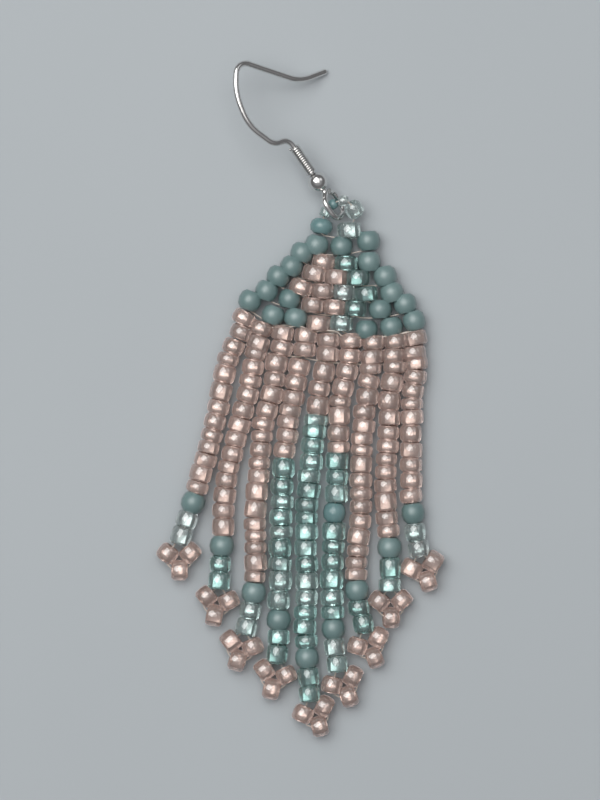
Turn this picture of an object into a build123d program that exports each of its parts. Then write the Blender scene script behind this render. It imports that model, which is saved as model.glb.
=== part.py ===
from build123d import *
import os
from math import cos, degrees, pi, radians, sin, tan

# Beaded fringe earring, lying face up on a flat surface. A fish hook of round steel wire, with a
# coil and a ball on its shank, holds a small loop of seed beads. The loop hangs a triangle woven in
# brick stitch, then a two-bead-high ladder, and nine strings of beads that each end in a picot.
# Millimetres, +Z up. The points below are from the middle of the ladder, but for those of the ear
# wire and of the bead loop. Each piece is moved at the end so that the origin is the middle of the
# underside of the whole earring.

# Seed beads and thread
BEAD_D = 2.1
BEAD_LENGTH = 1.5
ACCENT_D = 2.45
ACCENT_LENGTH = 2.1
END_AQUA_BEADS = 2
END_AQUA_LENGTH = 1.8
BEAD_RIM_R = 0.35
THREAD_D = 0.4
THREAD_SHOWN = 0.1
PIECE_GAP = 0.06

# Ladder and triangle: curved rows about one centre, each row of the triangle a bead wider
LADDER_COLUMNS = 9
LADDER_PITCH = 2.3
LADDER_ROWS = 2
ROW_BEAD_D = 2.4
ROW_PITCH = 1.66
COLUMN_PITCH = 2.48
TOP_ROW_BEADS = 2
TRIANGLE_ROWS = 7
ROW_ARC_R = 30.0
ROW_NESTING = 0.06
PANEL_TURN = -5.5
ROW_RIM_R = 0.45

# Strings: the points of each one's route after it leaves the ladder, hand chosen, x then y
STRING_POINTS = {
    1: [(-10.7, -3.0), (-11.7, -8.0), (-12.8, -12.3), (-13.9, -16.4), (-15.5, -20.8)],
    2: [(-8.0, -4.2), (-9.3, -8.6), (-10.2, -12.6), (-10.8, -16.7), (-10.9, -21.1), (-11.2, -25.6)],
    3: [(-5.5, -4.2), (-6.7, -8.3), (-7.0, -12.8), (-7.4, -17.0), (-7.5, -21.0), (-7.3, -25.6),
        (-8.6, -30.4)],
    4: [(-3.2, -4.2), (-3.9, -7.8), (-4.4, -11.6), (-4.6, -16.4), (-4.8, -21.9), (-4.9, -27.5),
        (-5.1, -33.4)],
    5: [(-0.7, -4.6), (-1.3, -9.8), (-1.9, -15.2), (-2.1, -20.7), (-2.0, -26.1), (-2.2, -30.9),
        (-1.6, -37.4)],
    6: [(1.5, -5.0), (1.4, -9.8), (1.1, -15.0), (0.8, -20.1), (0.7, -25.1), (0.7, -29.9), (1.4, -34.3)],
    7: [(4.3, -5.0), (3.9, -9.2), (3.7, -13.4), (3.8, -17.7), (3.3, -21.9), (3.1, -25.6), (4.1, -30.2)],
    8: [(6.6, -5.0), (6.7, -9.2), (6.3, -13.1), (6.4, -17.0), (6.8, -21.3), (6.8, -25.8)],
    9: [(9.0, -5.0), (9.1, -9.2), (8.9, -13.1), (9.1, -17.3), (9.9, -22.1)],
}
# Length of the aqua run above the accent bead, and how far the picot is turned from straight down
STRING_ENDS = {
    1: {"aqua_run": 0.0, "picot_turn": 2.0},
    2: {"aqua_run": 0.0, "picot_turn": -11.0},
    3: {"aqua_run": 0.0, "picot_turn": -15.0},
    4: {"aqua_run": 16.0, "picot_turn": -13.0},
    5: {"aqua_run": 24.6, "picot_turn": 20.0},
    6: {"aqua_run": 17.5, "picot_turn": 22.0},
    7: {"aqua_run": 0.0, "picot_turn": 22.0},
    8: {"aqua_run": 0.0, "picot_turn": 2.0},
    9: {"aqua_run": 0.0, "picot_turn": 18.0},
}
STRING_LEAD = 1.3
BEND_SHARE = 0.45

# Picot of three beads on a thread loop. The outer two stand this far to each side and below the
# string's end, with their holes splayed from its direction, and the middle one lies this far below.
PICOT_SPREAD = 1.2
PICOT_DROP = 0.95
PICOT_SPLAY = 40.0
PICOT_DEPTH = 2.75
PICOT_INSET = 0.4

# Ear wire: plan points are from the middle of the triangle's top edge, so that the wire moves with it
WIRE_D = 0.64
SHANK_HEADING = 124.9
SHANK_RISE = 12.0
BALL_AT = (-2.11, 4.14)
BALL_HEIGHT = 2.3
BALL_D = 2.1
BORE_CLEARANCE = 0.04
COIL_WIRE_D = 0.25
COIL_TURNS = 14
HOOK_POINTS = [(-5.19, 8.54), (-6.69, 7.93), (-9.40, 9.86), (-10.73, 13.24), (-10.61, 16.73),
               (-3.98, 14.74)]
TIP_AT = (-1.39, 15.83)
HOOK_BEND_SHARE = 0.42

# Wire loop under the ball that the bead loop passes through
LOOP_WIDTH = 2.5
LOOP_START = 1.45
LOOP_SHOULDER = 2.05
LOOP_END = 4.4
LOOP_ROLL = 55.0
LOOP_NECK_R = 0.6
LOOP_SHOULDER_R = 0.9
LOOP_BOW_R = 1.1
LOOP_CLOSING = (1.62, 0.75)

# Bead loop: small clear beads from one top bead of the triangle, through the wire loop, to the next.
# The points are from the middle of the triangle's top edge, and their heights from the surface.
HANGER_D = 1.15
HANGER_SPREAD = 2.9
HANGER_LEAD = 0.85
HANGER_POINTS = [(0.48, 2.29, 2.2), (1.83, 1.79, 2.3)]

# Sizes worked out from those above
ladder_height = LADDER_ROWS * BEAD_LENGTH
bead_z = BEAD_D / 2
wire_r = WIRE_D / 2
coil_length = COIL_TURNS * COIL_WIRE_D
first_row_height = ladder_height / 2 + PIECE_GAP + (ROW_PITCH + ROW_NESTING) / 2
triangle_top = first_row_height + ROW_NESTING + (TRIANGLE_ROWS - 0.5) * ROW_PITCH


def panel_place(turn, height, z):
    """Point of the beadwork, by its turn round the rows' centre and its height above the ladder's middle."""
    reach = ROW_ARC_R - height
    flat = Vector(reach * sin(turn), ROW_ARC_R - reach * cos(turn))
    return flat.rotate(Axis.Z, PANEL_TURN) + Vector(0, 0, z)


def above_triangle(x, y, z):
    """Point given in plan from the middle of the triangle's top edge, at a height over the surface."""
    return panel_place(0, triangle_top, z) + Vector(x, y)


def bend_radii(points, share):
    """Largest radius at each inner point whose arc takes this share of the shorter run beside it."""
    radii = []
    for before, corner, after in zip(points, points[1:], points[2:]):
        turn = radians((corner - before).get_angle(after - corner))
        shorter = min((corner - before).length, (after - corner).length)
        radii.append(share * shorter / tan(turn / 2))
    return radii


def smooth_path(points, radii):
    """Straight runs through the points, joined by tangent arcs."""
    return Wire(FilletPolyline(*points, radius=radii).edges())


def tube(path, diameter):
    """Round bar along the path."""
    section = Plane(origin=path @ 0, z_dir=path % 0) * Circle(diameter / 2)
    return sweep(section, path=path)


def drum(centre, direction, diameter, length):
    """Bead with rounded rims, its hole along the direction."""
    body = Cylinder(diameter / 2, length)
    body = fillet(body.edges().filter_by(GeomType.CIRCLE), BEAD_RIM_R)
    return Plane(origin=centre, z_dir=direction) * body


def bead_row(width, height, row_height, bead_d):
    """One curved row of beads side by side, as a bar with rounded edges lying on the surface."""
    low = ROW_ARC_R - height + row_height / 2
    high = ROW_ARC_R - height - row_height / 2
    half_turn = degrees(width / 2 / (ROW_ARC_R - height))
    with BuildSketch() as outline:
        with BuildLine():
            lower = CenterArc((0, ROW_ARC_R), low, 270 - half_turn, 2 * half_turn)
            upper = CenterArc((0, ROW_ARC_R), high, 270 - half_turn, 2 * half_turn)
            Line(lower @ 0, upper @ 0)
            Line(lower @ 1, upper @ 1)
        make_face()
    bar = extrude(outline.sketch, bead_d)
    return fillet(bar.edges(), ROW_RIM_R)


def make_ladder():
    """Two beads high, under the triangle."""
    rows = Part()
    for row in range(LADDER_ROWS):
        height = (row + 0.5) * BEAD_LENGTH - ladder_height / 2
        rows += bead_row(LADDER_COLUMNS * LADDER_PITCH, height, BEAD_LENGTH + ROW_NESTING, BEAD_D)
    return rows.rotate(Axis.Z, PANEL_TURN)


def make_triangle():
    """Rows that lose a bead each, from the ladder up to the two top beads."""
    rows = Part()
    for row in range(TRIANGLE_ROWS):
        beads = TOP_ROW_BEADS + TRIANGLE_ROWS - 1 - row
        height = first_row_height + ROW_NESTING / 2 + row * ROW_PITCH
        rows += bead_row(beads * COLUMN_PITCH, height, ROW_PITCH + ROW_NESTING, ROW_BEAD_D)
    return rows.rotate(Axis.Z, PANEL_TURN)


def string_route(number):
    """Path of one string, square out of its ladder column and then through its points."""
    turn = (number - (LADDER_COLUMNS + 1) / 2) * LADDER_PITCH / ROW_ARC_R
    edge = -ladder_height / 2 - ROW_NESTING / 2 - PIECE_GAP
    points = [panel_place(turn, edge, bead_z), panel_place(turn, edge - STRING_LEAD, bead_z)]
    points += [Vector(x, y, bead_z) for x, y in STRING_POINTS[number]]
    radii = bend_radii(points, BEND_SHARE)
    print("string", number, "radii", [round(r, 1) for r in radii])
    return smooth_path(points, radii)


def make_picot(apex, turn):
    """Three beads on a thread that leaves the string's end, goes round and comes back."""
    down = Vector(0, -1, 0).rotate(Axis.Z, turn)
    side = Vector(1, 0, 0).rotate(Axis.Z, turn)
    reach = BEAD_LENGTH / 2 + THREAD_SHOWN
    middle = apex + down * PICOT_DEPTH
    picot = drum(middle, side, BEAD_D, BEAD_LENGTH)
    corners = [apex - down * PICOT_INSET]
    for hand in (-1, 1):
        centre = apex + down * PICOT_DROP + side * hand * PICOT_SPREAD
        splayed = down * cos(radians(PICOT_SPLAY)) + side * hand * sin(radians(PICOT_SPLAY))
        picot += drum(centre, splayed, BEAD_D, BEAD_LENGTH)
        loop_half = [centre - splayed * reach, centre + splayed * reach, middle + side * hand * reach]
        corners += loop_half if hand < 0 else loop_half[::-1]
    corners.append(corners[0])
    for first, last in zip(corners, corners[1:]):
        picot += tube(Wire(Line(first, last).edges()), THREAD_D) + Pos(last) * Sphere(THREAD_D / 2)
    return picot


def make_string(number):
    """Upper piece of one string, and its lower piece with the accent bead and the picot."""
    route = string_route(number)
    lower_length = (
        STRING_ENDS[number]["aqua_run"] + ACCENT_LENGTH + END_AQUA_BEADS * END_AQUA_LENGTH
    )
    split = 1 - lower_length / route.length
    gap = PIECE_GAP / route.length
    upper_route = route.trim(0, split - gap)
    lower_route = route.trim(split, 1)
    upper = tube(upper_route, BEAD_D)
    lower = tube(lower_route, BEAD_D)
    for name, solid, path in (("upper", upper, upper_route), ("lower", lower, lower_route)):
        share = solid.volume / (pi * (BEAD_D / 2) ** 2 * path.length)
        print("string", number, name, "volume over section times length", round(share, 4))
    accent_at = 1 - (END_AQUA_BEADS * END_AQUA_LENGTH + ACCENT_LENGTH / 2) / lower_route.length
    accent = lower_route @ accent_at
    accent_centre = Vector(accent.X, accent.Y, ACCENT_D / 2)
    lower += drum(accent_centre, lower_route % accent_at, ACCENT_D, ACCENT_LENGTH - 2 * PIECE_GAP)
    lower += make_picot(lower_route @ 1, STRING_ENDS[number]["picot_turn"])
    return upper, lower


def shank_direction():
    """Unit vector along the shank, from the ball to the coil."""
    level = Vector(1, 0, 0).rotate(Axis.Z, SHANK_HEADING)
    return level * cos(radians(SHANK_RISE)) + Vector(0, 0, sin(radians(SHANK_RISE)))


def hook_point(x, y):
    """Point in the hook's plane, which holds the shank and lets the tip touch the surface."""
    ball = above_triangle(*BALL_AT, BALL_HEIGHT)
    normal = shank_direction().cross(above_triangle(*TIP_AT, wire_r) - ball)
    height = BALL_HEIGHT - (normal.X * (x - BALL_AT[0]) + normal.Y * (y - BALL_AT[1])) / normal.Z
    return above_triangle(x, y, height)


def make_ear_wire():
    """Loop, shank, hump, hook and tail in one length of wire, with a rounded tip."""
    ball = above_triangle(*BALL_AT, BALL_HEIGHT)
    up_shank = shank_direction()
    down_shank = up_shank * -1
    level_side = down_shank.cross(Vector(0, 0, 1)).normalized()
    lift = level_side.cross(down_shank).normalized()
    across = level_side * cos(radians(LOOP_ROLL)) + lift * sin(radians(LOOP_ROLL))

    def loop_point(down, sideways):
        return ball + down_shank * down + across * sideways

    half = LOOP_WIDTH / 2
    loop = [
        loop_point(LOOP_CLOSING[0], -LOOP_CLOSING[1]),
        loop_point(LOOP_SHOULDER, -half),
        loop_point(LOOP_END, -half),
        loop_point(LOOP_END, half),
        loop_point(LOOP_SHOULDER, half),
        loop_point(LOOP_START, 0),
    ]
    loop_radii = [LOOP_NECK_R, LOOP_BOW_R, LOOP_BOW_R, LOOP_SHOULDER_R, LOOP_NECK_R]
    hook = [hook_point(x, y) for x, y in HOOK_POINTS + [TIP_AT]]
    hook_radii = bend_radii([ball] + hook, HOOK_BEND_SHARE)
    print("hook radii", [round(r, 2) for r in hook_radii])
    wire = tube(smooth_path(loop + hook, loop_radii + hook_radii), WIRE_D)
    return wire + Pos(hook[-1]) * Sphere(wire_r)


def make_ball():
    """Round bead drilled for the shank."""
    place = Plane(origin=above_triangle(*BALL_AT, BALL_HEIGHT), z_dir=shank_direction())
    return place * (Sphere(BALL_D / 2) - Cylinder(wire_r + BORE_CLEARANCE, BALL_D))


def make_coil():
    """Close-wound sleeve of fine wire round the shank, above the ball."""
    inner = wire_r + BORE_CLEARANCE
    outer = inner + COIL_WIRE_D
    start = BALL_D / 2 + PIECE_GAP
    with BuildSketch(Plane.XZ) as half:
        with BuildLine():
            for turn in range(COIL_TURNS):
                low = start + turn * COIL_WIRE_D
                middle_r = inner + COIL_WIRE_D / 2
                ThreePointArc((middle_r, low), (outer, low + COIL_WIRE_D / 2), (middle_r, low + COIL_WIRE_D))
            Polyline((middle_r, start + coil_length), (inner, start + coil_length), (inner, start),
                     (middle_r, start))
        make_face()
    place = Plane(origin=above_triangle(*BALL_AT, BALL_HEIGHT), z_dir=shank_direction())
    return place * revolve(half.sketch, Axis.Z)


def make_bead_loop():
    """Small beads from the triangle's top left bead, through the wire loop, to its top right one."""
    top = triangle_top + PIECE_GAP
    turn = HANGER_SPREAD / 2 / (ROW_ARC_R - top)
    mid_z = ROW_BEAD_D / 2
    points = [panel_place(-turn, top, mid_z), panel_place(-turn, top + HANGER_LEAD, mid_z)]
    points += [above_triangle(x, y, z) for x, y, z in HANGER_POINTS]
    points += [panel_place(turn, top + HANGER_LEAD, mid_z), panel_place(turn, top, mid_z)]
    radii = bend_radii(points, BEND_SHARE)
    print("bead loop radii", [round(r, 2) for r in radii])
    return tube(smooth_path(points, radii), HANGER_D)


pieces = {
    "ear_wire": make_ear_wire(),
    "wire_coil": make_coil(),
    "ball_bead": make_ball(),
    "hanging_loop": make_bead_loop(),
    "triangle_panel": make_triangle(),
    "ladder_band": make_ladder(),
}
for number in STRING_POINTS:
    upper, lower = make_string(number)
    pieces[f"string_{number}_upper"] = upper
    pieces[f"string_{number}_lower"] = lower

whole = Compound(children=[Compound(piece.solids()) for piece in pieces.values()]).bounding_box()
origin = Vector(whole.center().X, whole.center().Y, whole.min.Z)
print("origin from the middle of the ladder", origin, "size", whole.size)

os.makedirs("parts", exist_ok=True)
for name, piece in pieces.items():
    export_step(Pos(origin * -1) * piece, f"parts/{name}.step")
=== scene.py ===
import math
import random

import bpy
from mathutils import Matrix, Vector


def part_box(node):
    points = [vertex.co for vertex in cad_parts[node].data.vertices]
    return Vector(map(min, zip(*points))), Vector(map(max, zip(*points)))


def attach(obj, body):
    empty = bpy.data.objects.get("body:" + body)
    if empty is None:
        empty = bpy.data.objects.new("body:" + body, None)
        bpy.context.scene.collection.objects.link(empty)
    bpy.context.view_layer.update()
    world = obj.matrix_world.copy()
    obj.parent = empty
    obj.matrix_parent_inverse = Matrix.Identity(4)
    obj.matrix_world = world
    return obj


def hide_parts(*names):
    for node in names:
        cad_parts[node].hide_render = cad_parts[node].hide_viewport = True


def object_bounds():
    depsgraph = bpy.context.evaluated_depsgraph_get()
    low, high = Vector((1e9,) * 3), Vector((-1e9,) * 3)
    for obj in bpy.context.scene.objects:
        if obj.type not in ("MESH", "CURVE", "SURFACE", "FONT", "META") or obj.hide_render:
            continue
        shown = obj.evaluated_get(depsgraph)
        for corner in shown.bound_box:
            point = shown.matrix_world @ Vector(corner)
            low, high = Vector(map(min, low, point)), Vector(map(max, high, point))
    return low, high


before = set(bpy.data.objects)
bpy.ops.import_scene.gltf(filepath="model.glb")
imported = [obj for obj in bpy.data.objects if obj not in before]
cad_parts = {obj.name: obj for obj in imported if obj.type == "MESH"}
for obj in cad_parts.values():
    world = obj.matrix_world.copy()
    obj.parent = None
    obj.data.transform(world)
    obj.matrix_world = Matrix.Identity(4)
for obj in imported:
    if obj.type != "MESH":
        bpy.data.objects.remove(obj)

bl_info = {
    "name": "Beaded fringe earring",
    "version": (1, 0, 0),
    "blender": (4, 5, 0),
    "location": "3D View > Sidebar > Earring",
    "description": "Dresses a seed bead earring with its beads, threads and steel ear wire",
    "category": "Object",
}

# All places are in millimetres from the middle of the ladder, x to the right, y towards the hook
# and z up from the surface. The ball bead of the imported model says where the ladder's middle is.
MM = 0.001
BALL_AT = (-0.838, 17.349)
CAD_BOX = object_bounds()
BALL_LOW, BALL_HIGH = (Vector(corner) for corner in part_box("ball_bead"))
BALL_CENTRE = (BALL_LOW + BALL_HIGH) / 2
LADDER_MIDDLE = Vector((BALL_CENTRE.x - BALL_AT[0] * MM, BALL_CENTRE.y - BALL_AT[1] * MM, 0))
UP = Vector((0, 0, 1))

# The shank of the ear wire: the way it points from the ball, how steeply it rises and its radius
SHANK_HEADING = math.radians(124.9)
SHANK_RISE = math.radians(12.0)
SHANK_RADIUS = 0.32
# The coil starts this far from the ball's centre and clears the shank by this much. Its wire fills
# this share of each turn's room, and has this many sides and this many steps a turn.
COIL_START = 1.11
COIL_CLEARANCE = 0.04
COIL_FILL = 0.97
COIL_SIDES = 8
COIL_STEPS = 18

# The woven rows curve about one point above the triangle, so every hole there points at it
ROWS_CENTRE = (2.875, 29.86)
# The strings leave the lower edge of a ladder that curves about a point this far above its middle
# and is turned this much. They run straight on for the lead before their routes begin.
LADDER_ARC = 30.0
LADDER_TURN = math.radians(-5.5)
LADDER_COLUMNS = 9
LADDER_PITCH = 2.3
LADDER_EDGE = 1.59
STRING_LEAD = 1.3

# Triangle beads: share of the plain bead's width, and length in millimetres. Its aqua beads all
# have one deep tone.
TEAL_AT_EDGE = (0.99, 2.05)
TEAL_INSIDE = (0.98, 1.95)
GLASS_INSIDE = (1.05, 1.58)
TRIANGLE_AQUA_TONE = 0.9
# Beads elsewhere: shares of a seed bead's width, and for a picot bead of its length
LADDER_WIDTH = 1.03
AQUA_RUN_WIDTH = 1.05
END_BEAD_WIDTH = 0.97
PICOT_WIDTH = 0.94
PICOT_LENGTH = 1.14
# A bead of a string fills this share of the room it has
BEAD_FILL = 0.985
# How much the beads differ at an unevenness of 1: tilt and turn about the hole in radians, shares
# of the width and the length, and millimetres to the side
TILT_SPREAD = 0.08
TURN_SPREAD = 0.35
WIDTH_SPREAD = 0.03
LENGTH_SPREAD = 0.26
SIDE_SPREAD = 0.09
# A bead that is a little too wide or tilted still clears the surface
LIFT = 0.05 * MM
# One flat of each square hole is turned about this way, a little towards the window
GLANCE = Vector((-0.12, 0.10, 0.985))

# Stitches between two beads: height of the holes, then how far below the middle of a bead the
# thread starts, leaves the hole and crosses over, how far it dips there, and its last stretch
TRIANGLE_STITCH = {"height": 1.15, "start": 0.3, "exit": 0.85, "cross": 0.95, "dip": 0.25,
                   "end": 0.5}
LADDER_STITCH = {"height": 1.1, "start": 0.25, "exit": 0.85, "cross": 0.88, "end": 0.6}

# Section of a bead, ring by ring from its widest place to the middle of its hole: the angle of the
# ring on a plain round section, its share of the bead's radius and its share of the half length
SECTIONS = {
    "soft": [(0, 1.0, 0.0), (45, 0.95, 0.68), (90, 0.74, 1.0), (135, 0.36, 0.58),
             (180, 0.34, 0.0)],
    "blunt": [(0, 1.0, 0.0), (45, 0.97, 0.76), (90, 0.80, 1.0), (135, 0.38, 0.66),
              (180, 0.36, 0.0)],
    "round": [(0, 1.0, 0.0), (45, 0.90, 0.62), (90, 0.62, 0.98), (135, 0.40, 0.90),
              (180, 0.33, 0.0)],
}
# The forms that the beads are copied from, and the torus that each form starts as
FORM_ACROSS = 2.0 * MM
FORM_LENGTH = 1.5 * MM
TORUS_CORE = FORM_ACROSS / 4 * 1.4
TORUS_TUBE = FORM_ACROSS / 4 * 0.6
TORUS_STEPS = 12
TUBE_STEPS = 8
TUBE_ANGLE = 360 // TUBE_STEPS
# The corners of a square hole are pushed out by this factor. Faces nearer to the axis than this
# share of the bead's radius are its lining.
CORNER_PUSH = 1.37
LINING_SHARE = 0.48
SMOOTH_ANGLE = math.radians(45)

# Triangle from the top row down: T grey-teal, P pink, A aqua, C nearly clear, D milky teal
TRIANGLE_CHART = [
    [("D", -0.46, 12.69), ("C", 2.46, 12.25)],
    [("T", -0.96, 10.72), ("T", 1.66, 10.57), ("T", 4.51, 11.16)],
    [("T", -2.51, 9.92), ("P", -0.24, 8.96), ("A", 2.17, 8.82), ("T", 4.58, 8.96)],
    [("T", -3.60, 8.46), ("P", -1.19, 7.72), ("P", 1.07, 7.36), ("A", 3.41, 7.29),
     ("T", 6.27, 7.43)],
    [("T", -4.99, 7.43), ("P", -2.58, 6.27), ("P", -0.31, 5.90), ("C", 1.95, 5.75),
     ("A", 4.29, 5.53), ("T", 6.99, 5.67)],
    [("T", -6.23, 5.90), ("T", -3.82, 5.02), ("P", -1.34, 4.43), ("P", 0.93, 4.16),
     ("A", 3.12, 4.00), ("T", 5.75, 3.93), ("T", 8.37, 4.52)],
    [("T", -7.98, 4.88), ("T", -5.57, 3.34), ("T", -3.16, 3.05), ("P", -0.75, 2.47),
     ("C", 1.66, 2.47), ("T", 4.29, 1.81), ("T", 6.92, 2.11), ("T", 9.33, 2.76)],
]
# Ladder: the upper and the lower bead of each column, from left to right
LADDER_CHART = [
    [(-8.64, 3.05), (-8.93, 1.52)],
    [(-6.81, 1.95), (-7.11, 0.38)],
    [(-4.54, 1.45), (-4.60, -0.05)],
    [(-2.06, 1.16), (-2.20, -0.28)],
    [(0.28, 0.71), (0.20, -0.77)],
    [(2.69, 0.61), (2.53, -0.92)],
    [(5.04, 0.45), (4.87, -1.05)],
    [(7.38, 0.57), (7.12, -0.89)],
    [(9.47, 0.90), (9.33, -0.65)],
]
# Thread that shows between the triangle and the ladder, from left to right
SEAM_THREAD = [(-7.4, 2.1, 0.9), (-5.72, 2.03, 1.7), (-4.35, 1.97, 1.8), (-3.28, 2.18, 1.9),
               (-2.22, 2.1, 1.9), (-1.48, 1.35, 1.6), (-0.74, 1.70, 1.9), (0.32, 1.72, 1.9),
               (1.17, 1.64, 1.9), (1.81, 1.0, 1.6), (2.34, 1.52, 1.9), (3.08, 0.85, 1.6),
               (4.14, 0.95, 1.7), (5.41, 1.0, 1.7), (6.26, 1.1, 1.7), (7.74, 1.35, 1.7),
               (9.23, 1.65, 1.7), (10.1, 1.7, 1.2)]
# Strings from left to right: control points of the route below the ladder, the number of beads in
# each run, the length of the aqua run and the turn of the picot
STRINGS = [
    {"route": [(-10.7, -3.0), (-11.7, -8.0), (-12.8, -12.3), (-13.9, -16.4), (-15.5, -20.8)],
     "pink": 11, "aqua": 0, "aqua_run": 0.0, "picot_turn": 2.0},
    {"route": [(-8.0, -4.2), (-9.3, -8.6), (-10.2, -12.6), (-10.8, -16.7), (-10.9, -21.1),
               (-11.2, -25.6)],
     "pink": 13, "aqua": 0, "aqua_run": 0.0, "picot_turn": -11.0},
    {"route": [(-5.5, -4.2), (-6.7, -8.3), (-7.0, -12.8), (-7.4, -17.0), (-7.5, -21.0),
               (-7.3, -25.6), (-8.6, -30.4)],
     "pink": 16, "aqua": 0, "aqua_run": 0.0, "picot_turn": -15.0},
    {"route": [(-3.2, -4.2), (-3.9, -7.8), (-4.4, -11.6), (-4.6, -16.4), (-4.8, -21.9),
               (-4.9, -27.5), (-5.1, -33.4)],
     "pink": 7, "aqua": 9, "aqua_run": 16.0, "picot_turn": -13.0},
    {"route": [(-0.7, -4.6), (-1.3, -9.8), (-1.9, -15.2), (-2.1, -20.7), (-2.0, -26.1),
               (-2.2, -30.9), (-1.6, -37.4)],
     "pink": 3, "aqua": 16, "aqua_run": 24.6, "picot_turn": 20.0},
    {"route": [(1.5, -5.0), (1.4, -9.8), (1.1, -15.0), (0.8, -20.1), (0.7, -25.1), (0.7, -29.9),
               (1.4, -34.3)],
     "pink": 6, "aqua": 10, "aqua_run": 17.5, "picot_turn": 22.0, "deep_bead": 4},
    {"route": [(4.3, -5.0), (3.9, -9.2), (3.7, -13.4), (3.8, -17.7), (3.3, -21.9), (3.1, -25.6),
               (4.1, -30.2)],
     "pink": 16, "aqua": 0, "aqua_run": 0.0, "picot_turn": 22.0},
    {"route": [(6.6, -5.0), (6.7, -9.2), (6.3, -13.1), (6.4, -17.0), (6.8, -21.3), (6.8, -25.8)],
     "pink": 12, "aqua": 0, "aqua_run": 0.0, "picot_turn": 2.0},
    {"route": [(9.0, -5.0), (9.1, -9.2), (8.9, -13.1), (9.1, -17.3), (9.9, -22.1)],
     "pink": 10, "aqua": 0, "aqua_run": 0.0, "picot_turn": 18.0},
]
# Picot: the outer beads stand this far to each side and below the string's end, splayed, and the
# middle one lies below them. Its thread starts this far up inside the string.
PICOT_SPREAD = 1.2
PICOT_DROP = 0.95
PICOT_SPLAY = math.radians(40.0)
PICOT_DEPTH = 2.75
PICOT_TAIL = 0.5

# Bead loop, from the triangle's top left bead through the wire loop to its top right one
BEAD_LOOP = [
    {"kind": "C", "at": (-0.05, 14.2, 1.1), "hole": (0.3, 1.0, 0.1), "across": 1.15,
     "length": 1.0},
    {"kind": "D", "at": (0.75, 15.0, 1.75), "hole": (1.0, 0.6, 0.5), "across": 1.15,
     "length": 1.0},
    {"kind": "C", "at": (1.85, 15.35, 2.25), "hole": (1.0, 0.0, 0.1), "across": 1.15,
     "length": 1.0},
    {"kind": "C", "at": (3.0, 14.45, 1.75), "hole": (0.6, -0.75, -0.3), "across": 2.0,
     "length": 1.55},
]
LOOP_THREAD = [(-0.46, 12.0, 1.2), (-0.3, 13.5, 1.2), (0.1, 14.6, 1.2), (0.9, 15.2, 1.9),
               (1.85, 15.45, 2.3), (2.6, 15.1, 2.1), (3.35, 14.0, 1.5), (2.9, 13.3, 1.3),
               (2.46, 12.0, 1.2)]

# Surface and lights, in metres: each light is a panel at a place, turned to face a target
SURFACE_ACROSS = 3.0
LIGHTS = [
    {"name": "ceiling light", "power": "ceiling_power", "place": (-0.10, 0.15, 0.90),
     "size": (0.8, 0.7), "tint": (1.0, 0.985, 0.96), "target": (-0.10, 0.15, 0.0)},
    {"name": "window light", "power": "window_power", "place": (-0.25, 0.24, 0.62),
     "size": (0.74, 0.60), "tint": (0.98, 1.0, 0.99), "target": (0.0, 0.0, 0.0)},
    {"name": "fill light", "power": "fill_power", "place": (0.55, 0.45, 0.70),
     "size": (0.5, 0.4), "tint": (0.95, 0.98, 1.0), "target": (0.0, 0.0, 0.0)},
]
# Room: the grey at each height, from the floor up, with a little more blue
ROOM_SHADES = ((0.0, 0.18), (0.5, 0.15), (0.85, 0.35))
ROOM_BLUE = 1.03
# The camera's sensor in millimetres, along the picture's longer side
SENSOR = 36.0


def measure(name, description, default, least=0.5):
    """Setting for a length, its values given in millimetres."""
    return bpy.props.FloatProperty(
        name=name, description=description, default=default * MM, min=least * MM, unit="LENGTH",
        subtype="DISTANCE", precision=5)


def power(name, description, default):
    """Setting for a light's power in watts."""
    return bpy.props.FloatProperty(
        name=name, description=description, default=default, min=0.0, unit="POWER")


def colour(name, description, default):
    """Setting for a colour."""
    return bpy.props.FloatVectorProperty(
        name=name, description=description, default=default, size=3, min=0.0, max=1.0,
        subtype="COLOR")


class BeadSizes(bpy.types.PropertyGroup):
    """Sizes of the beads and threads."""

    seed_across: measure("Seed bead across", "Diameter of a pink or aqua bead", 2.42)
    seed_length: measure("Seed bead length", "Length of a pink bead along its hole", 1.5)
    teal_across: measure("Teal bead across", "Diameter of a grey-teal bead of the triangle", 2.56)
    accent_across: measure(
        "Accent bead across", "Diameter of the grey-teal bead near a string's end", 2.62)
    accent_length: measure("Accent bead length", "Length of that bead along its hole", 2.1)
    end_aqua_length: measure(
        "End aqua bead length", "Length of the two aqua beads above a picot", 1.8)
    thread_across: measure("Thread across", "Diameter of the beading thread", 0.14, 0.05)
    coil_wire_across: measure(
        "Coil wire across", "Diameter of the fine wire wound round the shank", 0.25, 0.05)
    coil_turns: bpy.props.IntProperty(
        name="Coil turns", description="Number of turns of the fine wire", default=14, min=1)
    unevenness: bpy.props.FloatProperty(
        name="Unevenness", description="How much the beads differ in length, width and tilt",
        default=1.0, min=0.0, max=2.0, subtype="FACTOR")


class BeadColours(bpy.types.PropertyGroup):
    """Colours of the beads, the thread and the steel."""

    rose_glass: colour("Rose glass", "Tint of the glass of a pink bead", (0.965, 0.715, 0.63))
    rose_lining: colour("Rose lining", "Colour inside the hole of a pink bead", (0.88, 0.88, 0.87))
    aqua_glass: colour("Aqua glass", "Tint of an aqua bead", (0.57, 0.89, 0.85))
    clear_glass: colour("Clear glass", "Tint of the palest aqua beads", (0.88, 0.95, 0.94))
    milky_teal: colour("Milky teal", "Colour of the few milky aqua beads", (0.20, 0.40, 0.41))
    satin_teal: colour("Satin teal", "Colour of the opaque grey-teal beads", (0.140, 0.252, 0.250))
    thread: colour("Thread", "Colour of the beading thread", (0.85, 0.72, 0.62))
    steel: colour("Steel", "Colour of the ear wire, its coil and its ball", (0.80, 0.79, 0.775))


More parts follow.
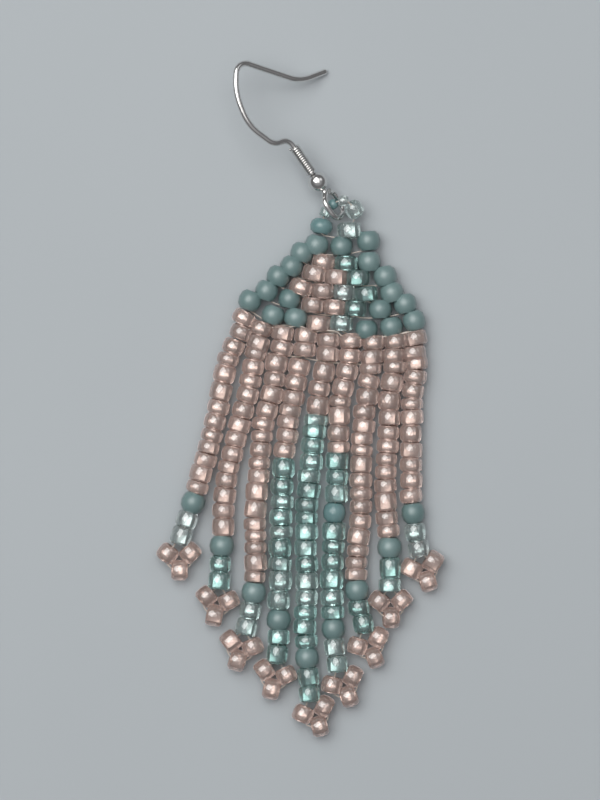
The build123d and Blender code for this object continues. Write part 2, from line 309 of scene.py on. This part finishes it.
class StudioSettings(bpy.types.PropertyGroup):
    """Surface, lights and camera."""

    surface: colour("Surface", "Colour of the surface under the earring", (0.470, 0.505, 0.530))
    view_height: measure(
        "View height", "Length of surface that the picture shows from top to bottom", 84.0, 10.0)
    lens: bpy.props.FloatProperty(
        name="Lens", description="Focal length in millimetres", default=200.0, min=20.0)
    ceiling_power: power("Ceiling power", "Power of the broad light overhead", 1.8)
    window_power: power("Window power", "Power of the light on the upper left", 3.0)
    fill_power: power("Fill power", "Power of the weaker light on the upper right", 0.4)


class Value:
    """A number that varies over a surface, so that shader maths reads as plain maths."""

    def __init__(self, finish, socket):
        self.finish = finish
        self.socket = socket

    def worked_out(self, operation, first, second):
        made = self.finish.node("ShaderNodeMath", {"operation": operation}, {0: first, 1: second})
        return Value(self.finish, made.outputs[0])

    def __add__(self, other):
        return self.worked_out("ADD", self, other)

    def __radd__(self, other):
        return self.worked_out("ADD", other, self)

    def __sub__(self, other):
        return self.worked_out("SUBTRACT", self, other)

    def __mul__(self, other):
        return self.worked_out("MULTIPLY", self, other)


class Finish:
    """A material in the making: its node tree, its surface shader and its coordinates."""

    def __init__(self, name, **constants):
        self.material = bpy.data.materials.new(name)
        self.material.use_nodes = True
        self.tree = self.material.node_tree
        self.surface = self.tree.nodes["Principled BSDF"]
        for socket, value in constants.items():
            self.surface.inputs[socket.replace("_", " ")].default_value = value
        self.place = self.node("ShaderNodeTexCoord").outputs["Object"]

    def node(self, kind, settings=None, inputs=None):
        made = self.tree.nodes.new(kind)
        for name, value in (settings or {}).items():
            setattr(made, name, value)
        for name, value in (inputs or {}).items():
            self.feed(made.inputs[name], value)
        return made

    def feed(self, socket, value):
        if isinstance(value, Value):
            value = value.socket
        if isinstance(value, bpy.types.NodeSocket):
            self.tree.links.new(value, socket)
        else:
            socket.default_value = value

    def drive(self, **sockets):
        for name, value in sockets.items():
            self.feed(self.surface.inputs[name.replace("_", " ")], value)

    def noise(self, scale, detail=2.0):
        made = self.node("ShaderNodeTexNoise", None, {
            "Vector": self.place, "Scale": scale, "Detail": detail})
        return Value(self, made.outputs[0])

    def own(self, attribute):
        made = self.node("ShaderNodeAttribute", {"attribute_name": attribute})
        return Value(self, made.outputs["Fac"])

    def blend(self, amount, first, second):
        made = self.node("ShaderNodeMix", {"data_type": "RGBA"}, {
            "Factor": amount, 6: (*first, 1.0), 7: (*second, 1.0)})
        return made.outputs[2]

    def ramp(self, amount, stops):
        made = self.node("ShaderNodeValToRGB", None, {"Fac": amount})
        set_stops(made.color_ramp, stops)
        return made.outputs["Color"]

    def relief(self, height, strength, distance):
        made = self.node("ShaderNodeBump", None, {
            "Height": height, "Strength": strength, "Distance": distance})
        self.drive(Normal=made.outputs["Normal"])


def set_stops(ramp, stops):
    """Give a colour ramp these stops, each a position and a colour."""
    while len(ramp.elements) < len(stops):
        ramp.elements.new(0.5)
    for element, (position, shade) in zip(ramp.elements, stops):
        element.position = position
        element.color = (*shade, 1.0)


def lighter(shade, amount):
    return tuple(min(1.0, part + (1.0 - part) * amount) for part in shade)


def darker(shade, amount):
    return tuple(part * (1.0 - amount) for part in shade)


def rose_glass_finish(colours):
    """Rose glass with a pearly lustre on its skin, whose tint differs from bead to bead."""
    finish = Finish("rose lustre glass", Transmission_Weight=0.72, IOR=1.52, Coat_Weight=1.0,
                    Coat_IOR=2.1, Coat_Roughness=0.08, Sheen_Weight=0.9, Sheen_Roughness=0.35,
                    Sheen_Tint=(1.0, 0.80, 0.76, 1.0))
    cloud = finish.noise(900.0)
    tone = finish.own("tone") + (cloud - 0.5) * 0.4
    finish.drive(Base_Color=finish.blend(tone, tuple(colours.rose_glass),
                                         darker(colours.rose_glass, 0.18)),
                 Roughness=0.05 + cloud * 0.06)
    finish.relief(finish.noise(1400.0), strength=0.15, distance=0.00003)
    return finish.material


def rose_lining_finish(colours):
    """Pale silvery colour on the inside of the hole."""
    finish = Finish("rose lining", Metallic=0.75)
    patches = finish.noise(1500.0, detail=3.0)
    tone = finish.own("tone") + (patches - 0.5) * 0.6
    finish.drive(Base_Color=finish.blend(tone, lighter(colours.rose_lining, 0.18),
                                         darker(colours.rose_lining, 0.15)),
                 Roughness=0.14 + patches * 0.14)
    return finish.material


def silver_lining_finish(colours):
    """Bright silvering on the inside of the hole."""
    finish = Finish("silver lining", Metallic=0.9)
    patches = finish.noise(1500.0, detail=3.0)
    finish.drive(Base_Color=finish.blend(patches, (0.72, 0.74, 0.73), (0.50, 0.56, 0.55)),
                 Roughness=0.10 + patches * 0.12)
    return finish.material


def aqua_glass_finish(colours):
    """See-through aqua glass, from nearly clear to a full aqua as the bead's tone rises."""
    finish = Finish("aqua glass", Transmission_Weight=0.85, IOR=1.52, Coat_Weight=1.0, Coat_IOR=2.0,
                    Coat_Roughness=0.04, Sheen_Weight=0.5, Sheen_Roughness=0.3,
                    Sheen_Tint=(0.8, 1.0, 0.97, 1.0))
    streaks = finish.noise(1100.0)
    tone = finish.own("tone") + (streaks - 0.5) * 0.16
    finish.drive(
        Base_Color=finish.ramp(tone, [(0.0, tuple(colours.clear_glass)),
                                      (0.5, tuple(colours.aqua_glass)),
                                      (1.0, darker(colours.aqua_glass, 0.35))]),
        Roughness=0.02 + streaks * 0.04)
    finish.relief(finish.noise(1600.0), strength=0.15, distance=0.00003)
    return finish.material


def milky_teal_finish(colours):
    """Milky aqua glass that light only enters a little way."""
    finish = Finish("milky teal", Transmission_Weight=0.3, IOR=1.52, Coat_Weight=0.6,
                    Coat_Roughness=0.12)
    cloud = finish.noise(800.0)
    finish.drive(Base_Color=finish.blend(cloud, lighter(colours.milky_teal, 0.12),
                                         darker(colours.milky_teal, 0.2)),
                 Roughness=0.18 + cloud * 0.12)
    return finish.material


def satin_teal_finish(colours):
    """Opaque grey-teal glass with a satin skin."""
    finish = Finish("satin teal", IOR=1.55, Coat_Weight=0.9, Coat_IOR=1.7, Coat_Roughness=0.36)
    cloud = finish.noise(700.0, detail=3.0)
    specks = finish.noise(6000.0)
    tone = finish.own("tone") * 0.5 + cloud * 0.5
    finish.drive(Base_Color=finish.blend(tone, lighter(colours.satin_teal, 0.08),
                                         darker(colours.satin_teal, 0.22)),
                 Roughness=0.34 + cloud * 0.16)
    finish.relief(specks, strength=0.12, distance=0.00002)
    return finish.material


def thread_finish(colours):
    """Pale pink-beige beading thread."""
    finish = Finish("beading thread", IOR=1.45)
    fibres = finish.noise(9000.0, detail=3.0)
    finish.drive(Base_Color=finish.blend(fibres, lighter(colours.thread, 0.35),
                                         darker(colours.thread, 0.2)),
                 Roughness=0.55 + fibres * 0.2)
    finish.relief(fibres, strength=0.4, distance=0.00002)
    return finish.material


def steel_finish(colours):
    """Bright drawn wire, with faint rubbing marks."""
    finish = Finish("bright steel", Metallic=1.0)
    rubbing = finish.noise(2500.0, detail=4.0)
    finish.drive(Base_Color=finish.blend(rubbing, lighter(colours.steel, 0.15),
                                         darker(colours.steel, 0.12)),
                 Roughness=0.08 + rubbing * 0.10)
    finish.relief(rubbing, strength=0.06, distance=0.00001)
    return finish.material


def finish_named(name):
    """The material of that name, made when it is first asked for."""
    makers = {
        "rose lustre glass": rose_glass_finish,
        "rose lining": rose_lining_finish,
        "aqua glass": aqua_glass_finish,
        "silver lining": silver_lining_finish,
        "milky teal": milky_teal_finish,
        "satin teal": satin_teal_finish,
        "beading thread": thread_finish,
        "bright steel": steel_finish,
    }
    kept = bpy.data.materials.get(name)
    return kept or makers[name](bpy.context.scene.earring_colours)


def ladder_place(x, y, z=0.0):
    """Point in metres from millimetres off the middle of the ladder."""
    return LADDER_MIDDLE + Vector((x, y, z)) * MM


def only(*objects):
    """Select these objects alone, the first of them active."""
    bpy.ops.object.select_all(action="DESELECT")
    for thing in objects:
        thing.select_set(True)
    bpy.context.view_layer.objects.active = objects[0]


def choose_vertices(piece, wanted):
    """In edit mode, select the vertices with these numbers and nothing else."""
    bpy.ops.object.mode_set(mode="OBJECT")
    for kind in (piece.data.polygons, piece.data.edges):
        kind.foreach_set("select", [False] * len(kind))
    chosen = set(wanted)
    points = piece.data.vertices
    points.foreach_set("select", [point.index in chosen for point in points])
    bpy.ops.object.mode_set(mode="EDIT")



def make_form(name, finishes):
    """One bead at the origin with its hole along z, to be copied."""
    bpy.ops.object.select_all(action="DESELECT")
    bpy.ops.mesh.primitive_torus_add(major_segments=TORUS_STEPS, minor_segments=TUBE_STEPS,
                                     major_radius=TORUS_CORE, minor_radius=TORUS_TUBE,
                                     location=(0, 0, 0))
    form = bpy.context.active_object
    form.name = name
    rings = {}
    for vertex in form.data.vertices:
        out = math.hypot(vertex.co.x, vertex.co.y) - TORUS_CORE
        angle = round(math.degrees(math.atan2(abs(vertex.co.z), out)) / TUBE_ANGLE) * TUBE_ANGLE
        rings.setdefault(angle, []).append(vertex.index)
    only(form)
    bpy.ops.object.mode_set(mode="EDIT")
    for angle, width_share, length_share in SECTIONS[name]:
        out = TORUS_CORE + TORUS_TUBE * math.cos(math.radians(angle))
        high = TORUS_TUBE * math.sin(math.radians(angle))
        widen = FORM_ACROSS / 2 * width_share / out
        lengthen = FORM_LENGTH / 2 * length_share / high if length_share else 1.0
        choose_vertices(form, rings[angle])
        bpy.ops.transform.resize(value=(widen, widen, lengthen), center_override=(0, 0, 0))
    if len(finishes) > 1:
        square_the_hole(form, rings[135] + rings[180])
    bpy.ops.object.mode_set(mode="OBJECT")
    for finish in finishes:
        form.data.materials.append(finish_named(finish))
    if len(finishes) > 1:
        hole = FORM_ACROSS / 2 * LINING_SHARE
        for face in form.data.polygons:
            middle = face.center
            if math.hypot(middle.x, middle.y) < hole:
                face.material_index = 1
    only(form)
    bpy.ops.object.shade_smooth_by_angle(angle=SMOOTH_ANGLE)
    return form


def square_the_hole(form, wanted):
    """In edit mode, push every third point of the round hole out until it is square."""
    corners = []
    for number in wanted:
        place = form.data.vertices[number].co
        step = round(math.atan2(place.y, place.x) / (2 * math.pi) * TORUS_STEPS)
        if step % (TORUS_STEPS // 4) == 0:
            corners.append(number)
    choose_vertices(form, corners)
    bpy.ops.transform.resize(value=(CORNER_PUSH, CORNER_PUSH, 1.0), center_override=(0, 0, 0))


class BeadTray:
    """Forms of each kind of bead, and the beads laid from them for the piece in hand."""

    kinds = {
        "P": (("soft", "soft", "blunt"), ("rose lustre glass", "rose lining")),
        "A": (("soft", "blunt"), ("aqua glass", "silver lining")),
        "C": (("soft", "blunt"), ("aqua glass", "silver lining")),
        "D": (("round",), ("milky teal",)),
        "T": (("round",), ("satin teal",)),
    }
    tones = {"P": (0.0, 1.0), "A": (0.25, 0.85), "C": (0.0, 0.3), "D": (0.0, 1.0), "T": (0.0, 1.0)}

    def __init__(self, seed):
        sizes = bpy.context.scene.earring_sizes
        self.chance = random.Random(seed)
        self.uneven = sizes.unevenness
        self.forms = {}
        self.laid = []

    def form_for(self, kind):
        shapes, finishes = self.kinds[kind]
        shape = self.chance.choice(shapes)
        key = (shape, finishes)
        if key not in self.forms:
            self.forms[key] = make_form(shape, finishes)
        return self.forms[key]

    def lay(self, kind, centre, hole, across, length, tone=None):
        """Copy a form to a place, its hole along a direction, a little uneven in size and tilt."""
        form = self.form_for(kind)
        bead = form.copy()
        bead.data = form.data.copy()
        bpy.context.collection.objects.link(bead)
        spread = self.chance.uniform
        tilt = Vector((spread(-1, 1), spread(-1, 1), spread(-1, 1))) * TILT_SPREAD * self.uneven
        along = (Vector(hole).normalized() + tilt).normalized()
        turned = along.to_track_quat("Z", "Y").to_matrix().to_4x4()
        glance = turned.inverted() @ GLANCE
        turn = spread(-TURN_SPREAD, TURN_SPREAD) * self.uneven
        spun = Matrix.Rotation(math.atan2(-glance.x, glance.y) + math.pi / 4 + turn, 4, "Z")
        width = across / FORM_ACROSS * (1 + spread(-WIDTH_SPREAD, WIDTH_SPREAD) * self.uneven)
        scaled = Matrix.Diagonal((width, width, length / FORM_LENGTH, 1.0))
        bead.matrix_world = Matrix.Translation(centre + UP * LIFT) @ turned @ spun @ scaled
        low, high = self.tones[kind]
        shade = spread(low, high) if tone is None else tone
        marks = bead.data.attributes.new("tone", "FLOAT", "POINT")
        marks.data.foreach_set("value", [shade] * len(bead.data.vertices))
        self.laid.append(bead)

    def gather(self, name, slot, *nodes):
        """Join the beads laid so far into one piece that stands for these parts of the model."""
        only(*self.laid)
        bpy.ops.object.transform_apply(location=True, rotation=True, scale=True)
        bpy.ops.object.join()
        piece = bpy.context.active_object
        self.laid = []
        return claim(piece, name, slot, *nodes)

    def clear(self):
        for form in self.forms.values():
            bpy.data.objects.remove(form)
        self.forms = {}


def claim(piece, name, slot, *nodes):
    """Name a finished piece, fix it to the earring and hide the plain solids that it stands for."""
    piece.name = name
    piece.data.name = name
    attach(piece, "root")
    if nodes:
        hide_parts(*nodes)
    return piece


def nurbs_curve(name, routes, radius=0.0):
    """Curve object with one smooth spline through the space that each list of points guides."""
    data = bpy.data.curves.new(name, "CURVE")
    data.dimensions = "3D"
    data.resolution_u = 16
    for points in routes:
        spline = data.splines.new("NURBS")
        spline.points.add(len(points) - 1)
        for point, place in zip(spline.points, points):
            point.co = (*place, 1.0)
        spline.order_u = 3
        spline.use_endpoint_u = True
    if radius:
        data.bevel_depth = radius
        data.bevel_resolution = 1
        data.use_fill_caps = True
    curve = bpy.data.objects.new(name, data)
    bpy.context.collection.objects.link(curve)
    return curve


def route_of(points):
    """Places along the smooth line of a string, with the distance run at each."""
    curve = nurbs_curve("route", [points])
    line = bpy.data.meshes.new_from_object(curve)
    places = [vertex.co.copy() for vertex in line.vertices]
    bpy.data.objects.remove(curve)
    bpy.data.meshes.remove(line)
    runs = [0.0]
    for before, after in zip(places, places[1:]):
        runs.append(runs[-1] + (after - before).length)
    return places, runs


def on_route(route, distance):
    """Place and direction at a distance along a string's line."""
    places, runs = route
    for (before, after), (start, end) in zip(zip(places, places[1:]), zip(runs, runs[1:])):
        if distance <= end or after is places[-1]:
            share = (distance - start) / (end - start)
            return before.lerp(after, share), (after - before).normalized()


def spin_threads(name, routes, *nodes):
    """Mesh of thread along each list of points."""
    radius = bpy.context.scene.earring_sizes.thread_across / 2
    curve = nurbs_curve(name, routes, radius)
    only(curve)
    bpy.ops.object.convert(target="MESH")
    piece = bpy.context.active_object
    piece.data.materials.append(finish_named("beading thread"))
    bpy.ops.object.shade_smooth()
    return claim(piece, name, None, *nodes)


def towards_rows_centre(x, y):
    """Direction from a place in the woven rows to the point that they curve about."""
    return (Vector((*ROWS_CENTRE, 0)) - Vector((x, y, 0))).normalized()


def ladder_exit(number, below):
    """Point under a ladder column, this far below the ladder's middle line, in millimetres."""
    turn = (number - (LADDER_COLUMNS + 1) / 2) * LADDER_PITCH / LADDER_ARC
    reach = LADDER_ARC + below
    flat = Vector((reach * math.sin(turn), LADDER_ARC - reach * math.cos(turn), 0))
    return Matrix.Rotation(LADDER_TURN, 3, "Z") @ flat


class EARRING_OT_ear_wire(bpy.types.Operator):
    """Polish the ear wire and its ball"""

    bl_idname = "earring.ear_wire"
    bl_label = "Ear wire and ball"

    def execute(self, context):
        for node in ("ear_wire", "ball_bead"):
            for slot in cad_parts[node].material_slots:
                slot.material = finish_named("bright steel")
        return {"FINISHED"}


class EARRING_OT_coil(bpy.types.Operator):
    """Wind the fine wire round the shank"""

    bl_idname = "earring.coil"
    bl_label = "Coil on the shank"

    def execute(self, context):
        sizes = context.scene.earring_sizes
        fine = sizes.coil_wire_across
        inner = (SHANK_RADIUS + COIL_CLEARANCE) * MM
        bpy.ops.object.select_all(action="DESELECT")
        bpy.ops.mesh.primitive_circle_add(vertices=COIL_SIDES, radius=fine / 2 * COIL_FILL,
                                          fill_type="NOTHING")
        winding = context.active_object
        only(winding)
        bpy.ops.object.mode_set(mode="EDIT")
        bpy.ops.mesh.select_all(action="SELECT")
        bpy.ops.transform.rotate(value=math.pi / 2, orient_axis="X", center_override=(0, 0, 0))
        bpy.ops.transform.translate(value=(inner + fine / 2, 0, fine / 2))
        bpy.ops.object.mode_set(mode="OBJECT")
        screw = winding.modifiers.new("turns", "SCREW")
        screw.axis = "Z"
        screw.angle = 2 * math.pi
        screw.screw_offset = fine
        screw.iterations = sizes.coil_turns - 1
        screw.steps = screw.render_steps = COIL_STEPS
        screw.use_merge_vertices = False
        bpy.ops.object.modifier_apply(modifier=screw.name)
        bpy.ops.object.mode_set(mode="EDIT")
        bpy.ops.mesh.select_all(action="DESELECT")
        bpy.ops.mesh.select_non_manifold()
        bpy.ops.mesh.edge_face_add()
        bpy.ops.mesh.select_all(action="SELECT")
        bpy.ops.mesh.normals_make_consistent(inside=False)
        bpy.ops.object.mode_set(mode="OBJECT")
        level = Vector((math.cos(SHANK_HEADING), math.sin(SHANK_HEADING), 0))
        shank = level * math.cos(SHANK_RISE) + UP * math.sin(SHANK_RISE)
        turned = shank.to_track_quat("Z", "Y").to_matrix().to_4x4()
        start = BALL_CENTRE + shank * COIL_START * MM
        winding.matrix_world = Matrix.Translation(start) @ turned
        bpy.ops.object.transform_apply(location=True, rotation=True, scale=True)
        winding.data.materials.append(finish_named("bright steel"))
        bpy.ops.object.shade_smooth()
        claim(winding, "coil_winding", "steel", "wire_coil")
        return {"FINISHED"}


class EARRING_OT_triangle(bpy.types.Operator):
    """Weave the triangle from its chart, one piece for each colour"""

    bl_idname = "earring.triangle"
    bl_label = "Triangle"

    def execute(self, context):
        sizes = context.scene.earring_sizes
        tray = BeadTray(11)
        groups = (("triangle_teal_beads", "teal_bead", "T"),
                  ("triangle_pink_beads", "pink_bead", "P"),
                  ("triangle_aqua_beads", "aqua_bead", "ACD"))
        for name, slot, kinds in groups:
            for row in TRIANGLE_CHART:
                for number, (kind, x, y) in enumerate(row):
                    if kind not in kinds:
                        continue
                    across, length = self.size_of(kind, number in (0, len(row) - 1), sizes)
                    tray.lay(kind, ladder_place(x, y) + UP * across / 2, towards_rows_centre(x, y),
                             across, length, TRIANGLE_AQUA_TONE if kind == "A" else None)
            tray.gather(name, slot, "triangle_panel")
        tray.clear()
        self.stitch()
        return {"FINISHED"}

    def size_of(self, kind, at_edge, sizes):
        """Width and length of a bead of the triangle."""
        if kind == "T":
            share, length = TEAL_AT_EDGE if at_edge else TEAL_INSIDE
            return sizes.teal_across * share, length * MM
        share, length = GLASS_INSIDE
        return sizes.seed_across * share, length * MM

    def stitch(self):
        """Thread that crosses from hole to hole along the lower edge of each row."""
        stitch = TRIANGLE_STITCH
        routes = []
        for row in TRIANGLE_CHART:
            points = []
            for (_, x, y), (_, next_x, next_y) in zip(row, row[1:]):
                down = -towards_rows_centre(x, y)
                next_down = -towards_rows_centre(next_x, next_y)
                here = Vector((x, y, stitch["height"]))
                there = Vector((next_x, next_y, stitch["height"]))
                middle = (here + there) / 2 + down * stitch["cross"] - UP * stitch["dip"]
                points += [here + down * stitch["start"], here + down * stitch["exit"], middle,
                           there + next_down * stitch["exit"]]
            points.append(points[-1] - down * stitch["end"])
            routes.append([ladder_place(*point) for point in points])
        spin_threads("triangle_stitches", routes, "triangle_panel")


class EARRING_OT_ladder(bpy.types.Operator):
    """Lay the two beads of each ladder column and stitch the columns together"""

    bl_idname = "earring.ladder"
    bl_label = "Ladder"

    def execute(self, context):
        sizes = context.scene.earring_sizes
        tray = BeadTray(23)
        for upper, lower in LADDER_CHART:
            for x, y in (upper, lower):
                tray.lay("P", ladder_place(x, y) + UP * sizes.seed_across / 2,
                         towards_rows_centre(x, y), sizes.seed_across * LADDER_WIDTH,
                         sizes.seed_length)
        tray.gather("ladder_beads", "pink_bead", "ladder_band")
        tray.clear()
        stitch = LADDER_STITCH
        points = []
        for (_, (x, y)), (_, (next_x, next_y)) in zip(LADDER_CHART, LADDER_CHART[1:]):
            here = Vector((x, y, stitch["height"]))
            there = Vector((next_x, next_y, stitch["height"]))
            down = -towards_rows_centre(x, y)
            middle = (here + there) / 2 + down * stitch["cross"]
            points += [here + down * stitch["start"], here + down * stitch["exit"], middle,
                       there + down * stitch["exit"]]
        points.append(points[-1] - down * stitch["end"])
        routes = [[ladder_place(*point) for point in line] for line in (SEAM_THREAD, points)]
        spin_threads("ladder_stitches", routes, "ladder_band")
        return {"FINISHED"}


class EARRING_OT_strings(bpy.types.Operator):
    """Thread the nine strings, each with its runs, accent bead and picot"""

    bl_idname = "earring.strings"
    bl_label = "Strings"

    def execute(self, context):
        for number, string in enumerate(STRINGS, 1):
            self.thread(context, number, string)
        return {"FINISHED"}

    def run_of(self, tray, route, start, end, count, kind, across, deep_bead=0):
        """Beads touching each other along a stretch of the route, no two quite as long."""
        lengths = [1 + tray.chance.uniform(-LENGTH_SPREAD, LENGTH_SPREAD) * tray.uneven
                   for _ in range(count)]
        share = (end - start) / sum(lengths)
        at = start
        for number, length in enumerate(lengths, 1):
            place, along = on_route(route, at + length * share / 2)
            aside = tray.chance.uniform(-SIDE_SPREAD, SIDE_SPREAD)
            side = UP.cross(along) * aside * MM * tray.uneven
            made = "D" if number == deep_bead else kind
            tray.lay(made, Vector((place.x, place.y, across / 2)) + side, along, across,
                     length * share * BEAD_FILL)
            at += length * share

    def thread(self, context, number, string):
        sizes = context.scene.earring_sizes
        tray = BeadTray(100 + number)
        upper, lower = f"string_{number}_upper", f"string_{number}_lower"
        lead = [ladder_exit(number, LADDER_EDGE), ladder_exit(number, LADDER_EDGE + STRING_LEAD)]
        flat = [(point.x, point.y) for point in lead] + string["route"]
        points = [ladder_place(x, y) + UP * sizes.seed_across / 2 for x, y in flat]
        route = route_of(points)
        total = route[1][-1]
        ends = total - 2 * sizes.end_aqua_length
        accent = ends - sizes.accent_length
        pinks = accent - string["aqua_run"] * MM

        self.run_of(tray, route, 0.0, pinks, string["pink"], "P", sizes.seed_across)
        tray.gather(f"string_{number}_pink_beads", "pink_bead", upper)
        if string["aqua"]:
            self.run_of(tray, route, pinks, accent, string["aqua"], "A",
                        sizes.seed_across * AQUA_RUN_WIDTH, string.get("deep_bead", 0))
            tray.gather(f"string_{number}_aqua_beads", "aqua_bead", lower)
        place, along = on_route(route, accent + sizes.accent_length / 2)
        place.z = sizes.accent_across / 2
        tray.lay("T", place, along, sizes.accent_across, sizes.accent_length)
        tray.gather(f"string_{number}_accent_bead", "teal_bead", lower)
        clear = tray.chance.choice("AAC")
        self.run_of(tray, route, ends, total, 2, clear, sizes.seed_across * END_BEAD_WIDTH)
        tray.gather(f"string_{number}_end_beads", "aqua_bead", lower)
        loop = self.picot(tray, sizes, points[-1], math.radians(string["picot_turn"]))
        tray.gather(f"string_{number}_picot_beads", "pink_bead", lower)
        tray.clear()
        spin_threads(f"string_{number}_thread", [points, loop], upper, lower)

    def picot(self, tray, sizes, apex, turn):
        """Three beads in a small triangle, and the loop of thread that holds them."""
        around = Matrix.Rotation(turn, 3, "Z")
        down = around @ Vector((0, -1, 0))
        side = around @ Vector((1, 0, 0))
        half = sizes.seed_length / 2
        across, length = sizes.seed_across * PICOT_WIDTH, sizes.seed_length * PICOT_LENGTH
        middle = apex + down * PICOT_DEPTH * MM
        loop = [apex - down * PICOT_TAIL * MM]
        for hand in (-1, 1):
            centre = apex + down * PICOT_DROP * MM + side * hand * PICOT_SPREAD * MM
            splay = down * math.cos(PICOT_SPLAY) + side * hand * math.sin(PICOT_SPLAY)
            tray.lay("P", centre, splay, across, length)
            path = [centre - splay * half, centre + splay * half, middle + side * hand * half]
            loop += path if hand < 0 else path[::-1]
        tray.lay("P", middle, side, across, length)
        loop.append(loop[0])
        return loop


class EARRING_OT_bead_loop(bpy.types.Operator):
    """Hang the triangle from the wire loop by a short loop of beads"""

    bl_idname = "earring.bead_loop"
    bl_label = "Bead loop"

    def execute(self, context):
        tray = BeadTray(7)
        for bead in BEAD_LOOP:
            tray.lay(bead["kind"], ladder_place(*bead["at"]), bead["hole"], bead["across"] * MM,
                     bead["length"] * MM)
        tray.gather("bead_loop_beads", "aqua_bead", "hanging_loop")
        tray.clear()
        spin_threads("bead_loop_thread", [[ladder_place(*point) for point in LOOP_THREAD]],
                     "hanging_loop")
        return {"FINISHED"}


class EARRING_OT_stage(bpy.types.Operator):
    """Lay the surface, hang the lights and set the camera straight above"""

    bl_idname = "earring.stage"
    bl_label = "Surface, lights and camera"

    def execute(self, context):
        studio = context.scene.earring_studio
        bpy.ops.object.select_all(action="DESELECT")
        bpy.ops.mesh.primitive_plane_add(size=SURFACE_ACROSS, location=(0, 0, 0))
        surface = context.active_object
        surface.name = "surface"
        finish = Finish("pale surface", Roughness=0.6)
        mottle = finish.noise(14.0, detail=3.0)
        finish.drive(Base_Color=finish.blend(mottle, lighter(studio.surface, 0.04),
                                             darker(studio.surface, 0.05)))
        surface.data.materials.append(finish.material)

        for light in LIGHTS:
            self.hang(light, getattr(studio, light["power"]))
        context.scene.world = self.room()

        low, high = (Vector(corner) for corner in CAD_BOX)
        middle = (low + high) / 2
        bpy.ops.object.camera_add(location=(
            middle.x, middle.y, studio.view_height * studio.lens / SENSOR + high.z / 2))
        camera = context.active_object
        camera.rotation_euler = (0, 0, 0)
        camera.data.lens = studio.lens
        camera.data.clip_start = 0.01
        context.scene.camera = camera
        context.scene.view_settings.view_transform = "Standard"
        return {"FINISHED"}

    def room(self):
        """World that is dim low down and paler overhead, so that steel has dark edges."""
        world = bpy.data.worlds.new("room")
        world.use_nodes = True
        tree = world.node_tree
        place = tree.nodes.new("ShaderNodeTexCoord")
        parts = tree.nodes.new("ShaderNodeSeparateXYZ")
        shades = tree.nodes.new("ShaderNodeValToRGB")
        set_stops(shades.color_ramp, [(height, (shade, shade, shade * ROOM_BLUE))
                                      for height, shade in ROOM_SHADES])
        tree.links.new(place.outputs["Generated"], parts.inputs["Vector"])
        tree.links.new(parts.outputs["Z"], shades.inputs["Fac"])
        tree.links.new(shades.outputs["Color"], tree.nodes["Background"].inputs["Color"])
        return world

    def hang(self, light, watts):
        """Add one panel of light that faces its target."""
        place, target = Vector(light["place"]), Vector(light["target"])
        bpy.ops.object.light_add(type="AREA", location=place)
        lamp = bpy.context.active_object
        lamp.rotation_euler = (place - target).to_track_quat("Z", "Y").to_euler()
        lamp.name = light["name"]
        lamp.data.shape = "RECTANGLE"
        lamp.data.size, lamp.data.size_y = light["size"]
        lamp.data.energy = watts
        lamp.data.color = light["tint"]


class EARRING_PT_maker(bpy.types.Panel):
    """Sizes, colours and making steps of the earring"""

    bl_idname = "EARRING_PT_maker"
    bl_label = "Beaded fringe earring"
    bl_space_type = "VIEW_3D"
    bl_region_type = "UI"
    bl_category = "Earring"

    def draw(self, context):
        for group in ("earring_sizes", "earring_colours", "earring_studio"):
            settings = getattr(context.scene, group)
            box = self.layout.box()
            for name in settings.__annotations__:
                box.prop(settings, name)
        for step in STEPS:
            self.layout.operator(step.bl_idname)


STEPS = (EARRING_OT_ear_wire, EARRING_OT_coil, EARRING_OT_triangle, EARRING_OT_ladder,
         EARRING_OT_strings, EARRING_OT_bead_loop, EARRING_OT_stage)
CLASSES = (BeadSizes, BeadColours, StudioSettings) + STEPS + (EARRING_PT_maker,)


def register():
    for made in CLASSES:
        bpy.utils.register_class(made)
    bpy.types.Scene.earring_sizes = bpy.props.PointerProperty(type=BeadSizes)
    bpy.types.Scene.earring_colours = bpy.props.PointerProperty(type=BeadColours)
    bpy.types.Scene.earring_studio = bpy.props.PointerProperty(type=StudioSettings)


def unregister():
    del bpy.types.Scene.earring_sizes
    del bpy.types.Scene.earring_colours
    del bpy.types.Scene.earring_studio
    for made in reversed(CLASSES):
        bpy.utils.unregister_class(made)


def main():
    """Dress the earring step by step."""
    register()
    bpy.ops.earring.ear_wire()
    bpy.ops.earring.coil()
    bpy.ops.earring.triangle()
    bpy.ops.earring.ladder()
    bpy.ops.earring.strings()
    bpy.ops.earring.bead_loop()
    bpy.ops.earring.stage()


if __name__ == "__main__":
    main()
